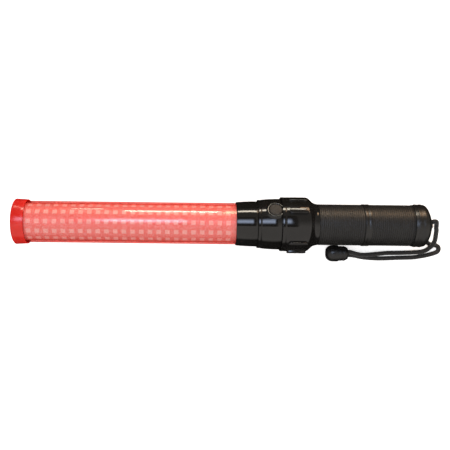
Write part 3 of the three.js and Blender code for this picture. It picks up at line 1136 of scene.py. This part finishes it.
@dataclass
class WristCord:
    """The braided cord, a loop through the eye, and the spring lock that holds its two ends."""

    # The places that the cord's centre line passes, in metres.
    route: tuple[Point, ...] = (
        (0.12040, -0.02770, 0.01025), (0.12500, -0.02770, 0.01025), (0.12960, -0.02770, 0.01020),
        (0.13330, -0.02825, 0.00960), (0.13740, -0.02940, 0.00840), (0.14200, -0.03040, 0.00720),
        (0.14720, -0.03070, 0.00670), (0.15280, -0.03030, 0.00615), (0.15820, -0.02980, 0.00530),
        (0.16370, -0.02930, 0.00410), (0.16920, -0.02880, 0.00275), (0.17460, -0.02850, 0.00240),
        (0.18460, -0.02825, 0.00240), (0.19480, -0.02785, 0.00250), (0.20020, -0.02745, 0.00340),
        (0.20540, -0.02695, 0.00460), (0.21000, -0.02565, 0.00570), (0.21340, -0.02310, 0.00710),
        (0.21620, -0.02000, 0.00900), (0.21740, -0.01560, 0.01260), (0.21660, -0.01150, 0.01710),
        (0.21540, -0.00760, 0.02160), (0.21430, -0.00420, 0.02560), (0.21320, -0.00210, 0.02800),
        (0.21240, 0.00030, 0.03060), (0.21135, 0.00305, 0.03365), (0.21060, 0.00405, 0.03515),
        (0.20875, 0.00445, 0.03575), (0.20700, 0.00400, 0.03505), (0.20610, 0.00290, 0.03335),
        (0.20565, 0.00130, 0.03090), (0.20560, 0.00000, 0.02893), (0.20565, -0.00150, 0.02650),
        (0.20670, -0.00310, 0.02390), (0.20810, -0.00430, 0.02140), (0.20910, -0.00570, 0.01820),
        (0.20950, -0.00840, 0.01390), (0.20990, -0.01200, 0.00940), (0.21160, -0.01600, 0.00590),
        (0.21520, -0.01880, 0.00360), (0.21900, -0.01970, 0.00260), (0.22230, -0.02010, 0.00240),
        (0.22460, -0.02140, 0.00240), (0.22530, -0.02370, 0.00240), (0.22450, -0.02610, 0.00240),
        (0.22200, -0.02770, 0.00240), (0.21740, -0.02920, 0.00240), (0.21100, -0.03080, 0.00240),
        (0.20540, -0.03180, 0.00240), (0.20020, -0.03260, 0.00240), (0.19480, -0.03305, 0.00240),
        (0.18460, -0.03340, 0.00240), (0.17440, -0.03390, 0.00240), (0.16380, -0.03430, 0.00240),
        (0.15340, -0.03400, 0.00240), (0.14760, -0.03350, 0.00240), (0.14260, -0.03270, 0.00245),
        (0.13800, -0.03170, 0.00330), (0.13340, -0.03110, 0.00510), (0.12960, -0.03090, 0.00650),
        (0.12500, -0.03090, 0.00665), (0.12040, -0.03090, 0.00665),
    )
    diameter: float = 4.6
    fine_steps: int = 24
    ring_gap: float = 0.5
    sides: int = 24
    strands: int = 6
    strand_pitch: float = 4.6
    relief: float = 0.14
    lock_middle: tuple[float, float] = (-29.3, 8.45)
    nose: float = 128.8
    coil_ends: tuple[float, float] = (112.3, 117.9)
    coil_radius: float = 4.6
    coil_wire: float = 0.42
    coil_turns: int = 2
    centreline: list[Vector] = field(default_factory=list)

    def lathe(self) -> Lathe:
        """Returns the lathe round the cord lock's axis."""
        y, z = self.lock_middle
        return Lathe(Vector((0, y * MM, z * MM)), X_WAY, UP, 64)

    def smooth_line(self) -> list[Vector]:
        """Draws one smooth curve through the route, with points an even gap apart.

        Returns:
            The curve's points, in metres.
        """
        points = [Vector(p) for p in self.route]
        points = [2 * points[0] - points[1], *points, 2 * points[-1] - points[-2]]
        dense = []
        for a, b, c, d in zip(points, points[1:], points[2:], points[3:], strict=False):
            for i in range(self.fine_steps):
                t = i / self.fine_steps
                bend = (-a + 3 * b - 3 * c + d) * t**3 + (2 * a - 5 * b + 4 * c - d) * t**2
                dense.append((bend + (c - a) * t + 2 * b) / 2)
        dense.append(points[-2])
        lengths = [0.0]
        for start, end in pairwise(dense):
            lengths.append(lengths[-1] + (end - start).length)
        count = round(lengths[-1] / (self.ring_gap * MM))
        even, at = [], 0
        for i in range(count + 1):
            want = lengths[-1] * i / count
            while at < len(dense) - 2 and lengths[at + 1] < want:
                at += 1
            share = (want - lengths[at]) / (lengths[at + 1] - lengths[at])
            even.append(dense[at].lerp(dense[at + 1], share))
        return even

    def braid(self, along: float, turn: float) -> float:
        """Gives the braid's height at a place on the cord.

        Args:
            along: Millimetres along the cord.
            turn: The angle round it, in whole turns.

        Returns:
            The height over the cord's root, in millimetres.
        """
        right = self.strands * turn + along / self.strand_pitch
        left = self.strands * turn - along / self.strand_pitch
        over = 0.5 + 0.5 * math.cos(math.pi * (right + left)) * math.cos(math.pi * (right - left))
        crown = over * abs(math.cos(math.pi * right)) + (1 - over) * abs(math.cos(math.pi * left))
        return self.relief * (crown - 0.75)

    def cord(self) -> bpy.types.Object:
        """Lofts the cord along its centre line, with the braid as real relief and its own UV map.

        Returns:
            The cord, closed at both ends.
        """
        line = self.centreline = self.smooth_line()
        verts, faces, places = [], [], []
        side = UP
        for i, point in enumerate(line):
            ahead = (line[min(i + 1, len(line) - 1)] - line[max(i - 1, 0)]).normalized()
            side = (side - ahead * side.dot(ahead)).normalized()
            cross = ahead.cross(side)
            for j in range(self.sides):
                turn = j / self.sides
                radius = (self.diameter / 2 + self.braid(i * self.ring_gap, turn)) * MM
                spoke = side * math.cos(FULL_TURN * turn) + cross * math.sin(FULL_TURN * turn)
                verts.append(point + spoke * radius)
        side_width = self.diameter * math.pi / self.sides
        for i in range(len(line) - 1):
            for j in range(self.sides):
                k = (j + 1) % self.sides
                a, b = i * self.sides, (i + 1) * self.sides
                faces.append((a + j, a + k, b + k, b + j))
                u0, u1 = i * self.ring_gap, (i + 1) * self.ring_gap
                v0, v1 = j * side_width, (j + 1) * side_width
                places += [(u0, v0), (u0, v1), (u1, v1), (u1, v0)]
        for ring in (range(self.sides - 1, -1, -1), range(len(verts) - self.sides, len(verts))):
            faces.append(tuple(ring))
            places += [(0.0, 0.0)] * self.sides
        mesh = bpy.data.meshes.new("braided_cord")
        mesh.from_pydata(verts, [], faces)
        braid_map = mesh.uv_layers.new(name="braid")
        for loop, place in zip(braid_map.data, places, strict=True):
            loop.uv = place
        piece = bpy.data.objects.new("braided_cord", mesh)
        bpy.context.scene.collection.objects.link(piece)
        smooth(piece, 60)
        return piece

    def barrel(self) -> bpy.types.Object:
        """Turns the lock's barrel, with a step, a fine groove and the bore for the cord's ends."""
        outline = [
            (118.2, 0), (118.2, 6.4), (116, 6.4), (116, 7.6), (122.9, 7.6), (123.2, 7.3),
            (123.8, 7.3), (124.1, 7.6), (125.2, 7.6), (127.2, 6.8), (self.nose, 5.6), (self.nose, 4.95),
            (119.6, 4.95), (119.6, 0),
        ]
        return self.lathe().turn("lock_barrel", outline, 0.2, 2)

    def plunger(self) -> bpy.types.Object:
        """Turns the lock's push button: a dished top and a skirt over the barrel."""
        outline = [
            (107.2, 0), (107.5, 2.4), (106.8, 3.0), (106.9, 4.6), (107.8, 6.0), (109.3, 7.3),
            (111.3, 8.15), (113, 8.4), (119, 8.4), (119, 7.9), (112.6, 7.9), (112, 7.3), (112, 0),
        ]
        return self.lathe().turn("lock_push_button", outline, 0.2, 3)

    def spring(self) -> bpy.types.Object:
        """Winds the lock's return spring from a wire section.

        Returns:
            The spring.
        """
        (start, end), turns, wire = self.coil_ends, self.coil_turns, self.coil_wire
        lathe = self.lathe()
        deselect_all()
        origin = lathe.centre + X_WAY * (start + wire) * MM
        bpy.ops.mesh.primitive_circle_add(
            vertices=10, radius=wire * MM, location=origin, rotation=(math.pi / 2, 0, 0)
        )
        piece = bpy.context.object
        piece.name = "lock_return_spring"
        piece.data.name = piece.name
        bpy.ops.object.transform_apply(location=False, rotation=True, scale=True)
        piece.data.transform(Matrix.Translation(UP * self.coil_radius * MM))
        apply_modifier(
            piece,
            "SCREW",
            axis="X",
            angle=FULL_TURN,
            screw_offset=(end - start - 2 * wire) / turns * MM,
            iterations=turns,
            steps=24,
            render_steps=24,
        )
        bpy.ops.object.transform_apply(location=True)
        bpy.ops.object.mode_set(mode="EDIT")
        bpy.ops.mesh.select_all(action="SELECT")
        bpy.ops.mesh.fill_holes(sides=0)
        clean(piece)
        smooth(piece, 50)
        return piece

    def build(self) -> None:
        cord = fit(self.cord(), CORD, Body.CARRIAGE, "cord_fabric", "lanyard_cord")
        barrel = fit(self.barrel(), NYLON, Body.CARRIAGE, "lock_plastic", "cord_lock_barrel")
        plunger = fit(self.plunger(), NYLON, Body.LOCK_PLUNGER, "lock_plastic", "cord_lock_plunger")
        spring = fit(self.spring(), SPRING, Body.LOCK_PLUNGER, "spring_steel", "cord_lock_spring")
        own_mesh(spring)
        self.lathe().at(self.nose, 0)


# ---------------------------------------------------------------- what stays as CAD made it


@dataclass
class Inside:
    """The parts held inside, whose CAD shapes are right and only need their materials."""

    lamps: int = 8

    def finishes(self) -> dict[str, Finish]:
        """Lists each CAD node that stays, with its finish.

        Returns:
            Node name to finish.
        """
        listed: dict[str, Finish] = {
            "tip_board_holder": WHITE_ABS,
            "head_board_holder": DARK_ABS,
            "lamp_board": BOARD,
            "tube_gasket": SEAL_RUBBER,
            "switch_plunger": WHITE_ABS,
            "switch_body": DARK_ABS,
            "switch_board": BOARD,
            "lamp_lead_red": RED_PVC,
            "lamp_lead_black": BLACK_PVC,
            "cell_lead": RED_PVC,
            "battery_1": CELL,
            "battery_2": CELL,
            "contact_holder": WHITE_ABS,
            "front_contact": BRASS,
            "contact_spring": SPRING,
            "rear_contact": BRASS,
        }
        for number in range(1, self.lamps + 1):
            listed[f"upper_lamp_{number}"] = LAMP_RESIN
            listed[f"lower_lamp_{number}"] = LAMP_RESIN
        return listed

    def build(self) -> None:
        """Dresses the CAD nodes that stay."""
        for node, finish in self.finishes().items():
            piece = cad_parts[node]
            for part in piece.material_slots:
                part.material = finish.material()
            log.info("%s keeps its CAD shape in %s", node, finish.name)


# ---------------------------------------------------------------- the studio


@dataclass(frozen=True)
class SoftLight:
    """A rectangular lamp: where it hangs and aims and its sides, in metres, and its power in watts."""

    name: str
    place: Point
    aim: Point
    size: Range
    power: float
    colour: str
    in_mirrors: bool = True

    def hang(self) -> None:
        """Adds the lamp, with its first side along X."""
        data = bpy.data.lights.new(self.name, "AREA")
        data.shape = "RECTANGLE"
        data.size, data.size_y = self.size
        data.energy = self.power
        data.color = linear(self.colour)[:3]
        light = bpy.data.objects.new(self.name, data)
        light.location = self.place
        back = (Vector(self.place) - Vector(self.aim)).normalized()
        upward = back.cross(X_WAY).normalized()
        light.rotation_euler = Matrix((X_WAY, upward, back)).transposed().to_euler()
        light.visible_glossy = self.in_mirrors
        bpy.context.scene.collection.objects.link(light)


LAMPS = (
    SoftLight(
        "softbox", (-0.17, 0.07, 1.15), (-0.17, 0.07, 0.0), (0.75, 0.95), 7.0, "#eef3ff", in_mirrors=False
    ),
    SoftLight("window_right", (0.02, 0.90, 0.42), (0.02, 0.0, AXIS_HEIGHT), (0.5, 0.15), 3.6, "#fff4e0"),
    SoftLight("window_far", (0.55, 0.90, 0.40), (0.16, 0.0, AXIS_HEIGHT), (0.5, 0.3), 4.5, "#ffd2a6"),
    SoftLight("window_left", (-0.43, 0.97, 0.22), (-0.43, 0.0, AXIS_HEIGHT), (0.17, 0.1), 0.5, "#fff0d8"),
)


@dataclass
class Studio:
    """A pale floor, a softbox overhead, low window strips and a camera looking straight down."""

    camera_place: Point = (-0.0214, -0.00165, 0.6559)
    camera_turn: float = 0.01146
    lens: float = 50.16
    sensor: float = 36.0
    shift: float = 0.0511
    floor_size: float = 4.0
    floor_drop: float = 0.0003
    card_place: Point = (-0.2, 0.28, 1.15)
    card_size: float = 1.0
    card_glow: float = 7.5
    card_x: tuple[Range, ...] = ((-0.55, -0.3), (0.19, 0.11))
    card_y: tuple[Range, ...] = ((-0.04, 0.2), (0.56, 0.22))

    def camera(self) -> None:
        """Places the camera."""
        data = bpy.data.cameras.new("camera")
        data.lens = self.lens
        data.sensor_width = self.sensor
        data.shift_x = self.shift
        data.clip_start = 0.01
        data.clip_end = 20.0
        camera = bpy.data.objects.new("camera", data)
        camera.location = self.camera_place
        camera.rotation_euler = (0, 0, self.camera_turn)
        bpy.context.scene.collection.objects.link(camera)
        bpy.context.scene.camera = camera

    def floor(self) -> None:
        """Lays the floor: near white, with a faint mottle, and left out of mirror reflections."""
        deselect_all()
        bpy.ops.mesh.primitive_plane_add(size=self.floor_size, location=(0, 0, -self.floor_drop))
        floor = named("floor")
        m = new_material("paper_white_matt")
        mottle = noise(m, place_of(m), 60, 2.0)
        paper = add_node(
            m,
            "BsdfPrincipled",
            {
                "Base Color": tones(m, mottle, (0.2, "#f7f7f6"), (0.8, "#fbfbfa")),
                "Roughness": 0.9,
                "Emission Color": linear("#ffffff"),
                "Emission Strength": 0.6,
            },
        )
        floor.data.materials.append(show(m, paper))
        floor.visible_glossy = False

    def card(self) -> None:
        """Hangs the softbox's diffuser, which only mirror-like surfaces see: bright middle, soft edges."""
        deselect_all()
        bpy.ops.mesh.primitive_plane_add(size=self.card_size, location=self.card_place)
        card = named("softbox_diffuser")
        m = new_material("silk_diffuser_lit")
        place = add_node(m, "SeparateXYZ", {"Vector": place_of(m)})
        strength = self.card_glow
        for axis, edges in (("X", self.card_x), ("Y", self.card_y)):
            for start, end in edges:
                ramp = add_node(
                    m,
                    "MapRange",
                    {"Value": place.outputs[axis], "From Min": start, "From Max": end},
                    interpolation_type="SMOOTHSTEP",
                )
                faded = add_node(m, "Math", {0: ramp.outputs[0], 1: strength}, operation="MULTIPLY")
                strength = faded.outputs[0]
        glow = add_node(m, "Emission", {"Color": linear("#cfe0ff"), "Strength": strength})
        card.data.materials.append(show(m, glow))
        card.visible_camera = False
        card.visible_diffuse = False
        card.visible_shadow = False
        card.visible_transmission = False

    def sky(self) -> None:
        """Fills the room: pale grey in front and overhead, dim behind, dark below the table."""
        world = bpy.data.worlds.new("room")
        bpy.context.scene.world = world
        world.use_nodes = True
        world.node_tree.nodes.clear()
        way = add_node(world, "TexCoord").outputs["Generated"]
        split = add_node(world, "SeparateXYZ", {"Vector": way})
        depth = spread(world, split.outputs["Y"], (-1.0, 1.0), (0.0, 1.0))
        walls = ((0.0, "#e2dcd6"), (0.42, "#e2dcd6"), (0.62, "#8a8884"), (1.0, "#6e6b68"))
        height = spread(world, split.outputs["Z"], (0.0, 0.2), (0.0, 1.0))
        sockets = {"Color": tones(world, depth, *walls), "Strength": height}
        glow = add_node(world, "Background", sockets)
        add_node(world, "OutputWorld", {"Surface": glow.outputs[0]})

    def build(self) -> None:
        """Sets the whole studio."""
        self.camera()
        self.floor()
        self.sky()
        self.card()
        for light in LAMPS:
            light.hang()
        scene = bpy.context.scene
        scene.view_settings.view_transform = "Standard"
        scene.view_settings.look = "None"


def main() -> None:
    """Builds the studio and each sub-assembly in order."""
    logging.basicConfig(level=logging.INFO, format="%(name)s: %(message)s")
    for part in (Studio(), WristCord(), LightSection(), Head(), Handle(), EndCap(), Inside()):
        log.info("building %s", type(part).__name__)
        part.build()


if __name__ == "__main__":
    main()
